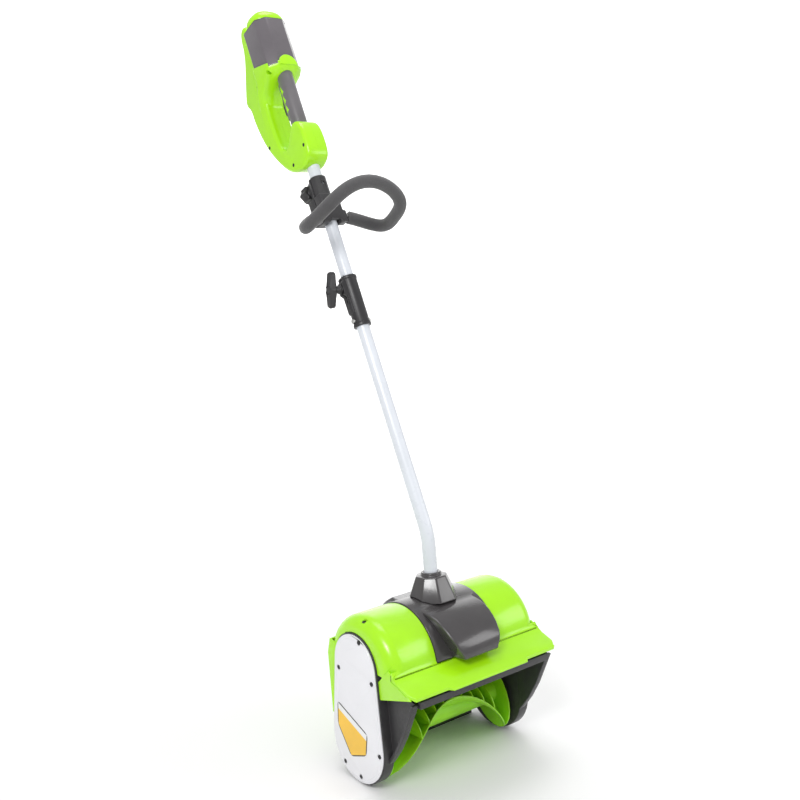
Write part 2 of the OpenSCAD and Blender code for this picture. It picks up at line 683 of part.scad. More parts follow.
// Side outline of the rear handle, as [y, s] beside the pole
HANDLE_OUTLINE = [[-27, 692], [-35, 712], [-34, 750], [-26, 774], [-6, 782], [12, 766], [24, 750], [38, 744],
    [51, 756], [56, 800], [56, 850], [48, 880], [22, 886], [-24, 886], [-25, 904], [30, 912], [44, 924], [42, 1032],
    [60, 1040], [75, 1026], [79, 985], [104, 938], [120, 908], [123, 892], [113, 880], [113, 846], [101, 790],
    [78, 742], [46, 698], [6, 682]];

module handle_outline(inset) offset(delta = -inset) polygon(rounded(HANDLE_OUTLINE, 2));

// Everything that the rear handle encloses, cut from both halves
module handle_cuts() {
    translate([0, 0, 670]) cylinder(h = 124, r = pole_r + fit / 2);
    translate([0, 0, 764]) cylinder(h = 138, r = grip_r + gap);
    translate([-battery_half_w - 0.5, battery_front - 0.5, battery_s - 1])
        cube([2 * battery_half_w + 1, battery_rear - battery_front + 1, 140]);
    translate([-20.4, 19.6, 889.6]) cube([40.8, 20.8, 15]);
    for (p = HANDLE_SCREWS) bar_x(-30, 12, p[0], p[1], 1.45);
    translate([-7, 91, 940]) cube([14, 49, 22]);
    bar_x(16.6, 30, -8, 762, 5.3);
}

// The whole rear handle as a shell with screw posts
module handle_shell() {
    w = housing_half_w;
    difference() {
        union() {
            along_x(-w, w) handle_outline(0);
            intersection() {
                along_x(-battery_half_w - 3, battery_half_w + 3)
                    polygon([[-26, 890], [-26, 908], [-13, 909], [41, 930], [44.5, 931], [44.5, 884], [20, 886]]);
                translate([0, 0, 880]) linear_extrude(60) battery_section(-3);
            }
            translate([0, -26, 906]) rotate([-90, 0, 0]) cylinder(h = 6, r = 20);
        }
        difference() {
            along_x(-w + 2.6, w - 2.6) handle_outline(2.6);
            for (p = HANDLE_SCREWS) bar_x(-w, w, p[0], p[1], 4.5);
            translate([0, 0, 690]) cylinder(h = 92, r = pole_r + 3);
            translate([-w, -40, 886]) cube([2 * w, 84, 16]);
        }
        handle_cuts();
        for (p = HANDLE_SCREWS) bar_x(-w - 1, -w + 2, p[0], p[1], screw_r);
    }
}

module handle_housing_left() color("yellowgreen") in_pole() intersection() {
    handle_shell();
    translate([-100, -200, 600]) cube([99.9, 400, 500]);
}
module handle_housing_right() color("yellowgreen") in_pole() intersection() {
    handle_shell();
    translate([0.1, -200, 600]) cube([99.9, 400, 500]);
}

module housing_screws() color("black") in_pole() {
    for (p = HANDLE_SCREWS) screw_x(-housing_half_w + 2, p[0], p[1], -1, p[2], 3.2);
}

module grip_sleeve() color("dimgray") in_pole() difference() {
    union() {
        tube(765, 899, grip_r, 13.2);
        translate([-9, 10, 800]) cube([18, 9, 80]);
    }
    translate([-6, 8, 806]) cube([12, 20, 68]);
    translate([0, 0, 760]) cylinder(h = 142, r = 13.2);
}

module trigger() color("black") in_pole() difference() {
    translate([-5.4, 0, 0]) rotate([90, 0, 90]) linear_extrude(10.8)
        polygon([[9, 870], [9, 812], [19, 808], [27, 816], [28, 834], [24, 852], [20, 868], [16, 872]]);
    bar_x(-10, 10, 13, 866, 1.5 + fit);
}

module trigger_spring() color("silver") in_pole() {
    translate([0, 0.8, 818]) rotate([-90, 0, 0]) {
        for (k = [0:2]) tube(k * 1.1, k * 1.1 + 0.6, 3, 2.2);
        translate([2.6, 0, 0]) cylinder(h = 2.8, r = 0.3, $fn = 24);
    }
}

module trigger_switch() color("dimgray") in_pole() {
    translate([-8, -9.5, 812]) cube([16, 10, 46]);
    for (s = [-1, 1]) translate([s * 5 - 1.5, -4, 806]) cube([3, 1, 6.1]);
}

module control_board() color("green") in_pole() {
    translate([-16, 66, 790]) cube([32, 1.6, 74]);
    for (k = [0:2]) translate([-10, 67.5, 798 + 20 * k]) cube([14, 9, 12]);
    translate([6, 67.5, 830]) cylinder(h = 20, r = 4);
}

module lock_off_button() color("dimgray") in_pole() bar_x(21, housing_half_w + 4, -8, 762, 5);

module battery_terminals() color("goldenrod") in_pole() {
    translate([-20, 20, 890]) cube([40, 20, 6]);
    for (i = [-2:2]) translate([i * 8 - 1, 23, 895]) cube([2, 14, 13]);
}

// Cross-section of the battery: a block with broad bevels at the front
module battery_section(inset) {
    w = battery_half_w - inset;
    front = battery_front + inset;
    rear = battery_rear - inset;
    polygon([[-w, rear], [-w, -6], [-19, front], [19, front], [w, -6], [w, rear]]);
}

module battery_case() color("dimgray") in_pole() difference() {
    translate([0, 0, battery_s]) linear_extrude(battery_len) battery_section(0);
    translate([0, 0, battery_s + 18]) linear_extrude(battery_len) battery_section(2.6);
    for (i = [-2:2]) translate([i * 8 - 2, 21, battery_s - 1]) cube([4, 18, 17]);
}

module battery_cap() color("yellowgreen") in_pole() {
    translate([0, 0, cap_s + 0.05]) linear_extrude(11) battery_section(1);
    translate([0, 0, cap_s + 10]) linear_extrude(9) battery_section(4);
    translate([0, 0, cap_s + 18]) linear_extrude(8) battery_section(9);
}

module battery_cells() color("steelblue") in_pole() {
    for (i = [-1:1], j = [0, 1]) translate([i * 19, j * 19 + 6, battery_s + 20]) cylinder(h = 65, r = 9);
    translate([-28, -3, battery_s + 85.2]) cube([56, 38, 2]);
}

module battery_latch() color("dimgray") in_pole() {
    translate([-6.4, 95, 940.6]) cube([12.8, 18, 20.8]);
    for (k = [0:2]) translate([-5, 112, 944 + 6 * k]) cube([10, 1.4, 3]);
}

module latch_spring() color("silver") in_pole() translate([0, 84, 951]) rotate([-90, 0, 0])
    for (k = [0:3]) tube(k * 2, k * 2 + 1, 4, 3);

auger_shroud();
belt_side_housing();
plain_side_housing();
rotor_chamber();
scraper_blade();
scraper_screws();
belt_side_cover();
plain_side_cover();
belt_cover_screws();
plain_cover_screws();
side_label();
shroud_screws();
motor_cover();
neck_collar();
pole_socket();
motor_bracket();
motor_can();
motor_end_bell();
armature_shaft();
motor_pulley();
drive_belt();
rotor_pulley();
rotor();
rotor_shaft();
belt_side_bearing();
plain_side_bearing();
lower_pole();
lower_cable();
cable_socket();
coupler_sleeve();
coupler_bolt();
coupler_nut();
t_knob();
upper_pole();
cable_plug();
upper_cable();
loop_clamp_front();
loop_clamp_rear();
loop_core();
loop_foam();
loop_knob();
handle_housing_left();
handle_housing_right();
housing_screws();
grip_sleeve();
trigger();
trigger_spring();
trigger_switch();
control_board();
lock_off_button();
battery_terminals();
battery_case();
battery_cap();
battery_cells();
battery_latch();
latch_spring();
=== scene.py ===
# %% [markdown]
# # A cordless snow shovel
# The object is a powered head with one rotor, a bent pole in two parts, a loop handle and a rear
# handle that holds the battery. Its sizes and its moving parts are already fixed by the packed
# model, so this lesson only makes its surfaces: rounded mouldings, foam, paint, steel and rubber.
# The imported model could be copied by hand, but loading it keeps every piece in its true place.

# %% The fixed frame
import json
import math

import bpy
from mathutils import Matrix, Vector

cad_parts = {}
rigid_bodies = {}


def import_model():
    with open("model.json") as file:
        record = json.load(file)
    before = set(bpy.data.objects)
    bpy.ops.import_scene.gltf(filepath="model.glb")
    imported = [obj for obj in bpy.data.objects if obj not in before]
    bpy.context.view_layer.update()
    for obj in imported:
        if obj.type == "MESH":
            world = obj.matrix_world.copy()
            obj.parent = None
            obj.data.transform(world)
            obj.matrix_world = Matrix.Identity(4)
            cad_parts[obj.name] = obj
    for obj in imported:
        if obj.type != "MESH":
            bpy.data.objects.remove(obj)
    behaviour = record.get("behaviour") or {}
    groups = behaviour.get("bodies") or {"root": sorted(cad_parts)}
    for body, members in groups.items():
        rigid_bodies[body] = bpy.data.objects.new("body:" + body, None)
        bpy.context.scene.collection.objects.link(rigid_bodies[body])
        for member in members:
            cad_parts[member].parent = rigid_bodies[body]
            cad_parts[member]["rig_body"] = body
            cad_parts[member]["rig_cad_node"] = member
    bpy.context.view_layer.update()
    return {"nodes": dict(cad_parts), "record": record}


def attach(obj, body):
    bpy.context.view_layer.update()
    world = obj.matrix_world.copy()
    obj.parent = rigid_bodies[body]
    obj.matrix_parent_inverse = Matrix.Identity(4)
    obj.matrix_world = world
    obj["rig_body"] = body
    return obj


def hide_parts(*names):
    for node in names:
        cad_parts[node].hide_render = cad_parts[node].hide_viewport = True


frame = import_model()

# %% [markdown]
# ## The places on the shovel
# The head stands square on the ground, but the neck and the pole lean back. Each has a frame of
# its own, whose Z runs up the tube and whose -Y points forward. A piece is easier to draw upright
# in that frame, and is then laid over as a whole. The numbers are the lean of the tubes in degrees
# and the foot of each frame in metres.

# %% Frames of the neck and the pole
NECK = Matrix.Translation((0, -0.069, 0.2)) @ Matrix.Rotation(math.radians(-7.6), 4, "X")
POLE = Matrix.Translation((0, -0.0121483, 0.4704729)) @ Matrix.Rotation(math.radians(-28.17), 4, "X")
MM = 0.001
print("pole foot", [round(v, 4) for v in POLE.to_translation()])

# %% [markdown]
# ## Selecting, naming and laying
# Blender's operators act on whatever is selected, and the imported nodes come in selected. So each
# step first selects one object alone. A piece that is turned into its place has the turn applied
# to its mesh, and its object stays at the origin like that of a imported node.

# %% Select, name, apply and lay
def alone(obj):
    if bpy.context.mode != "OBJECT":
        bpy.ops.object.mode_set(mode="OBJECT")
    bpy.ops.object.select_all(action="DESELECT")
    obj.hide_set(False)
    obj.select_set(True)
    bpy.context.view_layer.objects.active = obj
    return obj


def named(name):
    obj = bpy.context.object
    obj.name = obj.data.name = name
    return alone(obj)


def apply_all(obj):
    alone(obj)
    for modifier in list(obj.modifiers):
        bpy.ops.object.modifier_apply(modifier=modifier.name)
    return obj


def lay(obj, place):
    alone(obj)
    obj.matrix_world = place @ obj.matrix_world
    bpy.ops.object.transform_apply(location=True, rotation=True, scale=True)
    return obj


print("selection helpers ready")

# %% [markdown]
# ## Drawing solids
# Nearly every part here starts as a side outline that is pulled across the machine, as a child
# cuts a shape from card. A cube or a cone with its corners moved gives the tools for cutting.

# %% Extrude an outline, a box or a bar
def plate(name, outline, x0, x1):
    """A side outline of (y, z) points in millimetres, pulled across from x0 to x1."""
    bpy.ops.object.select_all(action="DESELECT")
    bpy.ops.mesh.primitive_circle_add(vertices=len(outline), fill_type="NGON")
    obj = named(name)
    for vertex, (y, z) in zip(obj.data.vertices, outline):
        vertex.co = (x0 * MM, y * MM, z * MM)
    bpy.ops.object.mode_set(mode="EDIT")
    bpy.ops.mesh.select_all(action="SELECT")
    bpy.ops.mesh.extrude_region_move(TRANSFORM_OT_translate={"value": ((x1 - x0) * MM, 0, 0)})
    bpy.ops.mesh.select_all(action="SELECT")
    bpy.ops.mesh.normals_make_consistent(inside=False)
    bpy.ops.object.mode_set(mode="OBJECT")
    return obj


def block(name, low, high):
    """A box between two corners in millimetres."""
    bpy.ops.object.select_all(action="DESELECT")
    bpy.ops.mesh.primitive_cube_add(size=1)
    obj = named(name)
    for vertex in obj.data.vertices:
        vertex.co = [(a if c < 0 else b) * MM for c, a, b in zip(vertex.co, low, high)]
    return obj


def rod(name, foot, along, length, radius, top=None, sides=48):
    """A round bar in millimetres from a foot point along a direction, or a cone with a top radius."""
    bpy.ops.object.select_all(action="DESELECT")
    bpy.ops.mesh.primitive_cone_add(vertices=sides, radius1=radius * MM,
                                    radius2=(radius if top is None else top) * MM, depth=length * MM)
    obj = named(name)
    turn = Vector(along).to_track_quat("Z", "Y").to_matrix().to_4x4()
    middle = (Vector(foot) + Vector(along).normalized() * length / 2) * MM
    return lay(obj, Matrix.Translation(middle) @ turn)


print("solid helpers ready")

# %% [markdown]
# ## Rounding and joining
# A bevel rounds the edges of a solid, a boolean cuts or joins two solids, and smooth shading hides
# the small facets that are left. Curved outlines come from cutting the corners of a coarse one,
# or from one curve in each corner where the straight runs have to stay.

# %% Round, carve and smooth
def soften(obj, width, segments=3, angle=35, clamp=True):
    """Rounds every edge that is sharper than an angle, with a bevel of a width in millimetres."""
    modifier = alone(obj).modifiers.new("round", "BEVEL")
    modifier.width = width * MM
    modifier.segments = segments
    modifier.limit_method = "ANGLE"
    modifier.angle_limit = math.radians(angle)
    modifier.use_clamp_overlap = clamp
    modifier.miter_outer = "MITER_ARC"
    return apply_all(obj)


def combine(obj, tools, operation="DIFFERENCE"):
    for tool in tools:
        modifier = alone(obj).modifiers.new("combine", "BOOLEAN")
        modifier.object = tool
        modifier.operation = operation
        modifier.solver = "EXACT"
        apply_all(obj)
        bpy.data.objects.remove(tool)
    return obj


def smooth(obj, angle=35):
    alone(obj)
    bpy.ops.object.shade_smooth_by_angle(angle=math.radians(angle))
    return obj


def rounded(points, times=3):
    """Cuts the corners of an outline, which turns it into a smooth curve."""
    for _ in range(times):
        pairs = list(zip(points, points[1:] + points[:1]))
        points = [tuple(s * a + (1 - s) * b for a, b in zip(p, q)) for p, q in pairs for s in (0.75, 0.25)]
    return points


def round_corners(points, reach, steps=5):
    """Replaces each corner by a curve that starts a reach in millimetres before it."""
    made = []
    for k, corner in enumerate(points):
        here = Vector(corner)
        to_last = (Vector(points[k - 1]) - here).normalized() * reach
        to_next = (Vector(points[(k + 1) % len(points)]) - here).normalized() * reach
        made += [tuple(here + to_last * (1 - n / steps) ** 2 + to_next * (n / steps) ** 2) for n in range(steps + 1)]
    return made


print("rounding helpers ready")

# %% [markdown]
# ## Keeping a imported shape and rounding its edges
# Many pieces already have the right shape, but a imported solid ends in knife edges, and no moulded
# or turned part does. A copy is merged, its flat faces are joined into single ones, and a narrow
# bevel catches the light along each edge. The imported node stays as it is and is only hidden.

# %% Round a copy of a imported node
BODY_OF = {node: body for body, nodes in frame["record"]["behaviour"]["bodies"].items() for node in nodes}
SLOT_OF = {part["node"]: part["material_slot"] for part in frame["record"]["subparts"]}


def copy_of(node):
    obj = frame["nodes"][node].copy()
    obj.data = obj.data.copy()
    obj.parent = None
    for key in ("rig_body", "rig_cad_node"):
        del obj[key]
    bpy.context.scene.collection.objects.link(obj)
    obj.name = obj.data.name = node + "_finished"
    alone(obj)
    bpy.ops.mesh.customdata_custom_splitnormals_clear()
    bpy.ops.object.mode_set(mode="EDIT")
    bpy.ops.mesh.select_all(action="SELECT")
    bpy.ops.mesh.remove_doubles(threshold=0.00001)
    bpy.ops.mesh.dissolve_limited(angle_limit=math.radians(0.6))
    bpy.ops.object.mode_set(mode="OBJECT")
    return obj


def settle(obj, node):
    """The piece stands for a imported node, rides with it and takes its finish."""
    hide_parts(node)
    obj.data.materials.clear()
    obj.data.materials.append(FINISH[SLOT_OF[node]])
    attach(obj, BODY_OF[node])
    return obj


def edged(node, width, segments=2, angle=35, smooth_angle=30):
    obj = soften(copy_of(node), width, segments, angle, clamp=False)
    return settle(smooth(obj, smooth_angle), node)


# %% [markdown]
# ## Finishes
# A finish is a Principled shader whose colour, roughness and bump change a little over the
# surface. Adding each node by hand would be long, so one small class wraps a socket. Sums and
# products of wires then add their own Math nodes, and every other node comes from one method.

# %% Wires
class Wire:
    def __init__(self, tree, socket=None):
        self.tree, self.socket = tree, socket

    def node(self, kind, settings=(), inputs=(), out=0):
        made = self.tree.nodes.new("ShaderNode" + kind)
        for key, value in dict(settings).items():
            setattr(made, key, value)
        for key, value in dict(inputs).items():
            if isinstance(value, Wire):
                self.tree.links.new(value.socket, made.inputs[key])
            else:
                made.inputs[key].default_value = value
        return Wire(self.tree, made.outputs[out])

    def maths(self, operation, a, b=0.0):
        return self.node("Math", {"operation": operation}, {0: a, 1: b})

    def __add__(self, other):
        return self.maths("ADD", self, other)

    def __mul__(self, other):
        return self.maths("MULTIPLY", self, other)

    def __sub__(self, other):
        return self.maths("SUBTRACT", self, other)

    def __rsub__(self, other):
        return self.maths("SUBTRACT", other, self)

    __radd__, __rmul__ = __add__, __mul__

    def above(self, limit):
        return self.maths("GREATER_THAN", self, limit)

    def ramp(self, low, high):
        return self.node("MapRange", {"clamp": True}, {0: self, 1: low, 2: high})


def mixed(mask, first, second):
    """One colour fading to another as the mask goes from 0 to 1."""
    return mask.node("Mix", {"data_type": "RGBA"}, {0: mask, 6: first, 7: second}, out=2)


print("wires ready")

# %% [markdown]
# ## One recipe for mouldings, paint, foam and metal
# Real mouldings have a fine grain, faint flow waves, patches that handling has polished and a
# trace of dust. The recipe gives each finish its own scale and amount of these. The constant
# values, such as coat and sheen, are set on the shader itself.

# %% The recipe
def tinted(colour, factor):
    return (*[min(1.0, c * factor) for c in colour], 1)


def finish(name, colour, rough, grain=0.0, grain_scale=900, wave=0.0, worn=0.06, smudge=0.1,
           stretch=(1, 1, 1), metal=0.0, coat=0.0, sheen=0.0, dust=0.0):
    material = bpy.data.materials.new(name)
    material.use_nodes = True
    material.diffuse_color = (*colour, 1)
    tree = material.node_tree
    tree.nodes.clear()
    start = Wire(tree)
    place = start.node("TexCoord", out=3)
    fine_place = place.node("Mapping", {}, {"Vector": place, "Scale": stretch})

    def noise(scale, detail=2.0, where=place):
        return where.node("TexNoise", {}, {"Vector": where, "Scale": scale, "Detail": detail})

    patches = noise(22, 4.0)
    streaks = noise(grain_scale * 0.12, 3.0, fine_place)
    fine = noise(grain_scale, 2.0, fine_place)
    shade = mixed(patches.ramp(0.3, 0.7), tinted(colour, 1 - worn), tinted(colour, 1 + worn))
    if dust:
        film = noise(9, 6.0).ramp(0.5, 0.8) * noise(160, 3.0).ramp(0.35, 0.7) * dust
        shade = mixed(film, shade, (0.55, 0.54, 0.52, 1))
    roughness = rough + (patches - 0.5) * smudge + (streaks - 0.5) * (smudge * 0.6)
    shader = tree.nodes.new("ShaderNodeBsdfPrincipled")
    shader.inputs["Metallic"].default_value = metal
    shader.inputs["Coat Weight"].default_value = coat
    shader.inputs["Coat Roughness"].default_value = 0.12
    shader.inputs["Sheen Weight"].default_value = sheen
    tree.links.new(shade.socket, shader.inputs["Base Color"])
    tree.links.new(roughness.socket, shader.inputs["Roughness"])
    height = fine * grain
    if wave:
        height = height + noise(14, 1.0) * wave
    bump = start.node("Bump", {}, {"Strength": 1.0, "Distance": 0.001, "Height": height})
    tree.links.new(bump.socket, shader.inputs["Normal"])
    ending = tree.nodes.new("ShaderNodeOutputMaterial")
    tree.links.new(shader.outputs[0], ending.inputs[0])
    return material


print("recipe ready")

# %% [markdown]
# ## The finishes of this shovel
# The shell and the rotor are bright lime plastic, the shell glossier. The motor cover, collar and
# battery are a dark warm grey with a polish. The tubes are powder coated, with the soft orange
# peel of that paint. The foam is open and matt, and the small steel parts are brushed or plated.

# %% Finishes by slot
FINISH = {
    "green_shell": finish("green_shell", (0.38, 0.81, 0.005), 0.25, grain=0.02, wave=0.6, worn=0.03,
                          smudge=0.08, coat=0.25, dust=0.03),
    "green_rotor": finish("green_rotor", (0.32, 0.74, 0.008), 0.34, grain=0.03, wave=0.4, worn=0.05,
                          smudge=0.12, coat=0.1, dust=0.06),
    "dark_gloss": finish("dark_gloss", (0.05, 0.046, 0.048), 0.22, grain=0.02, wave=0.5, worn=0.08,
                         smudge=0.1, coat=0.5),
    "dark_plastic": finish("dark_plastic", (0.03, 0.029, 0.031), 0.4, grain=0.09, worn=0.12, dust=0.05),
    "black_plastic": finish("black_plastic", (0.022, 0.021, 0.023), 0.38, grain=0.06, worn=0.15, dust=0.05),
    "white_cover": finish("white_cover", (0.78, 0.78, 0.81), 0.24, grain=0.015, wave=0.5, worn=0.015,
                          smudge=0.06, coat=0.3, dust=0.05),
    "pole_paint": finish("pole_paint", (0.68, 0.71, 0.76), 0.28, grain=0.12, grain_scale=420, worn=0.03,
                         coat=0.2, dust=0.04),
    "foam": finish("foam", (0.062, 0.06, 0.063), 0.72, grain=0.5, grain_scale=1500, worn=0.12, sheen=0.3),
    "soft_grip": finish("soft_grip", (0.13, 0.122, 0.13), 0.36, grain=0.16, grain_scale=1300, worn=0.1,
                        sheen=0.15),
    "steel": finish("steel", (0.55, 0.55, 0.56), 0.3, grain=0.04, stretch=(0.08, 1, 1), metal=1),
    "zinc_screw": finish("zinc_screw", (0.6, 0.6, 0.58), 0.32, grain=0.05, worn=0.1, metal=1),
    "black_screw": finish("black_screw", (0.02, 0.02, 0.021), 0.4, grain=0.04, worn=0.2),
    "aluminium": finish("aluminium", (0.7, 0.7, 0.72), 0.35, grain=0.05, stretch=(1, 1, 0.1), metal=1),
    "copper": finish("copper", (0.72, 0.3, 0.12), 0.3, grain=0.5, grain_scale=500, metal=1,
                     stretch=(0.1, 1, 1)),
    "contact": finish("contact", (0.8, 0.58, 0.22), 0.25, grain=0.03, metal=1),
    "belt_rubber": finish("belt_rubber", (0.016, 0.016, 0.016), 0.62, grain=0.2, worn=0.2),
    "cable_rubber": finish("cable_rubber", (0.02, 0.02, 0.021), 0.5, grain=0.1, worn=0.15),
    "board": finish("board", (0.015, 0.14, 0.055), 0.35, grain=0.1, grain_scale=400, worn=0.2, coat=0.3),
    "cell_wrap": finish("cell_wrap", (0.04, 0.2, 0.45), 0.3, grain=0.05, coat=0.3),
    "label": finish("label", (0.88, 0.52, 0.03), 0.35, grain=0.02, coat=0.2),
}
for node, obj in frame["nodes"].items():
    for slot in obj.material_slots:
        slot.material = FINISH[SLOT_OF[node]]
print("finishes", len(FINISH))

# %% [markdown]
# ## The shroud and the side housings
# The barrel over the motor is one thin moulding with a long lip that keeps snow off the user.
# Below it are dark side housings, each closed by a white cover, with the steel-hard scraper at
# the foot. Their shapes are settled, so each is a rounded copy. The bevel is narrower than the
# wall is thick, or it would eat through the rim, and on the covers it fits their low steps.

# %% Shroud, housings, chamber and scraper
for node, width in {"auger_shroud": 1.0, "belt_side_housing": 0.8, "plain_side_housing": 0.8,
                    "rotor_chamber": 0.7, "scraper_blade": 0.6, "belt_side_cover": 0.35,
                    "plain_side_cover": 0.35}.items():
    edged(node, width, 3)

# %% [markdown]
# ## The sticker on the side cover
# A five-sided sticker with round corners is stuck on the white cover. Its print could be a bitmap,
# but bands that follow its own edges are sharper and need no file: the distance to the nearest
# edge draws the dark border, and the distance to the top edge draws a white band.

# %% Sticker
LABEL = [(-2, 134), (-3, 89), (-43, 42), (-88, 62), (-91, 104)]
BAND, BORDER = 0.013, 0.0022


def inside_edge(depth, height, a, b):
    """How far a point lies inside the edge from a to b, in metres."""
    along = (Vector(b) - Vector(a)).normalized()
    return height * along.x - depth * along.y + (a[0] * along.y - a[1] * along.x) * MM


label = plate("side_label_finished", round_corners(LABEL, 9), -178.35, -178.05)
printed = FINISH["label"].node_tree
place = Wire(printed, printed.nodes["Texture Coordinate"].outputs[3])
depth, height = [place.node("SeparateXYZ", {}, {0: place}, out=axis) for axis in (1, 2)]
edges = [inside_edge(depth, height, LABEL[k], LABEL[k - 1]) for k in range(5)]
nearest = edges[0]
for edge in edges[1:]:
    nearest = nearest.maths("MINIMUM", nearest, edge)
base = printed.nodes["Principled BSDF"].inputs["Base Color"]
ground = Wire(printed, base.links[0].from_socket)
banded = mixed(edges[0].above(BAND), (0.8, 0.8, 0.8, 1), ground)
banded = mixed(nearest.above(BORDER), (0.02, 0.02, 0.02, 1), banded)
printed.links.new(banded.socket, base)
settle(label, "side_label")
print("sticker faces", len(label.data.polygons))

# %% [markdown]
# ## The motor cover
# The dark cover fills the gap in the middle of the barrel. It has a broad nose that leans out
# over the lip and narrows towards its foot, a band that follows the barrel, and a hump at the
# back. A bevel as broad as the real one would break the thin packed shell, so three plain solids
# are drawn and rounded one by one. Only then are they joined and hollowed out for the motor.

# %% The nose of the motor cover
def about_barrel(radius, start, end, steps=24):
    turns = [math.radians(start + (end - start) * i / steps) for i in range(steps + 1)]
    return [(-60 + radius * math.cos(t), 211 + radius * math.sin(t)) for t in turns]


def across(name, outline, y0, y1):
    """A front outline of (x, z) points in millimetres, pulled forward from y0 to y1."""
    return lay(plate(name, outline, -y0, -y1), Matrix.Rotation(math.radians(-90), 4, "Z"))


front = [(-62, 312), (-62, 304), (-56, 279), (-50, 260), (-41, 243), (-38, 200)]
nose = plate("motor_cover_finished", [(-144, 226), (-152, 231), (-190, 238), (-187, 254), (-179, 267), (-168, 277.5),
                                      (-157, 286), (-145, 293), (-132, 298.5), (-118, 301.8), (-104, 303), (-80, 303),
                                      (-80, 226)], -66, 66)
combine(nose, [across("front_mask", front + [(-x, z) for x, z in reversed(front)], -70, -200)], "INTERSECT")
soften(nose, 4.2, 4, 30, clamp=False)
print("nose faces", len(nose.data.polygons))

# %% [markdown]
# ## The band, the hump and the openings
# The band is a thin step of the same moulding beside the nose, and the hump behind gives room to
# the motor's fan. Slots in the hump let its air out. All openings are cut after the joining, so
# each goes through every layer.

# %% Band, hump and openings
hump = plate("hump", [(-40, 303)] + about_barrel(104, 62, 2, 18) + [(34, 214.6), (34, 226), (-40, 226)], -62, 62)
soften(hump, 4.2, 4, 30, clamp=False)
band = plate("band", about_barrel(97.5, 168, 2) + [(30, 214.4), (30, 224), (-144, 224)], -74, 74)
soften(band, 1.4, 3, 40)
combine(nose, [band, hump], "UNION")
hollow = plate("hollow", about_barrel(93, 160, 2) + [(30, 200), (-141, 200)], -71, 71)
vents = [block(f"vent_{side}_{row}", (side * 46 - 12, 20, 226 + 8 * row), (side * 46 + 12, 60, 229.5 + 8 * row))
         for side in (-1, 1) for row in range(5)]
motor_hole = rod("motor_hole", (-80, -51, 215), (1, 0, 0), 14, 39)
neck_hole = lay(rod("neck_hole", (0, 0, 60), (0, 0, 1), 80, 25), NECK)
combine(nose, [hollow, motor_hole, neck_hole, *vents])
settle(smooth(nose, 40), "motor_cover")
edged("neck_collar", 2.4, 4)

# %% [markdown]
# ## The rotor
# One green moulding throws the snow: two twisted blades between oval end plates, with thin fins
# behind them. Its edges are as thin as the mould allows, so they get only a hair of a radius.

# %% Rotor
edged("rotor", 0.4, 2)

# %% [markdown]
# ## Pole fittings
# A plastic sleeve joins the two tubes, and a T-shaped knob clamps it. A second knob clamps the
# loop handle. Moulded knobs and clamps have soft corners that a hand can press on.

# %% Sleeve, knobs and clamp
for node, width in {"coupler_sleeve": 0.9, "t_knob": 1.6, "loop_clamp_front": 2.0,
                    "loop_clamp_rear": 2.0, "loop_knob": 2.6}.items():
    edged(node, width, 3)
foam = edged("loop_foam", 2.2, 3, 50, 40)

# %% [markdown]
# ## The rear handle
# The handle is two green shells that meet on the middle plane. From the side it is a thick C
# that carries the grip, and its flanks roll over in a broad radius. It could be modelled as two
# halves, but one solid that is parted last is sure to match along the seam.

# %% The bow of the handle
handle_line = [(-27, 692), (-35, 712), (-34, 750), (-26, 774), (-6, 782), (12, 766), (24, 750), (38, 744),
               (51, 756), (56, 800), (56, 850), (48, 880), (22, 886), (2, 889), (2, 906), (30, 912),
               (44, 924), (42, 1032), (60, 1040), (75, 1026), (79, 985), (104, 938), (120, 908), (123, 892),
               (113, 880), (113, 846), (101, 790), (78, 742), (46, 698), (6, 682)]
handle = plate("handle", rounded(handle_line, 3), -25, 25)
soften(handle, 7, 4, 50, clamp=False)
print("bow faces", len(handle.data.polygons))

# %% [markdown]
# ## Lofting
# Some parts change their cross-section along their length. A loft starts from one ring of points
# and extrudes it to the next ring again and again, and each ring's points are then set in place.

# %% Loft
def section(grow):
    """The battery's cross-section as (x, y) points in millimetres, grown all round."""
    w, f, r = 38 + grow, -22 - grow, 41 + grow
    return [(-w, r), (-w, -6), (-19, f), (19, f), (w, -6), (w, r)]


def loft(name, rings):
    """Rings of (x, y, s) points in millimetres, each one extruded from the last."""
    bpy.ops.object.select_all(action="DESELECT")
    count = len(rings[0])
    bpy.ops.mesh.primitive_circle_add(vertices=count, fill_type="NGON")
    obj = named(name)
    for vertex, point in zip(obj.data.vertices, rings[0]):
        vertex.co = Vector(point) * MM
    for after in rings[1:]:
        bpy.ops.object.mode_set(mode="EDIT")
        bpy.ops.mesh.extrude_region_move(TRANSFORM_OT_translate={"value": (0, 0, 0.001)})
        bpy.ops.object.mode_set(mode="OBJECT")
        lifted = [v for v in obj.data.vertices if v.select]
        for vertex, point in zip(sorted(lifted, key=lambda v: v.index), after):
            vertex.co = Vector(point) * MM
    bpy.ops.object.mode_set(mode="EDIT")
    bpy.ops.mesh.select_all(action="SELECT")
    bpy.ops.mesh.normals_make_consistent(inside=False)
    bpy.ops.object.mode_set(mode="OBJECT")
    return obj


print("loft ready")

# %% [markdown]
# ## The skirt, the tongue and the ribs
# The bow widens into a skirt that holds the foot of the battery. Its rings start narrow on the
# bow's back and end as a rim that rises to the rear. A half-round tongue stands up in front, and
# seven thin ribs on the bow's back help the palm to hold on.

# %% Skirt, tongue and ribs
def ring(width, front, rear, height, reach):
    """A ring of the skirt, with its front corners cut off as on the battery."""
    side = front + 0.42 * width
    outline = [(-width, rear), (-width, side), (-width / 2, front), (width / 2, front), (width, side), (width, rear)]
    return [(x, y, height) for x, y in round_corners(outline, reach)]


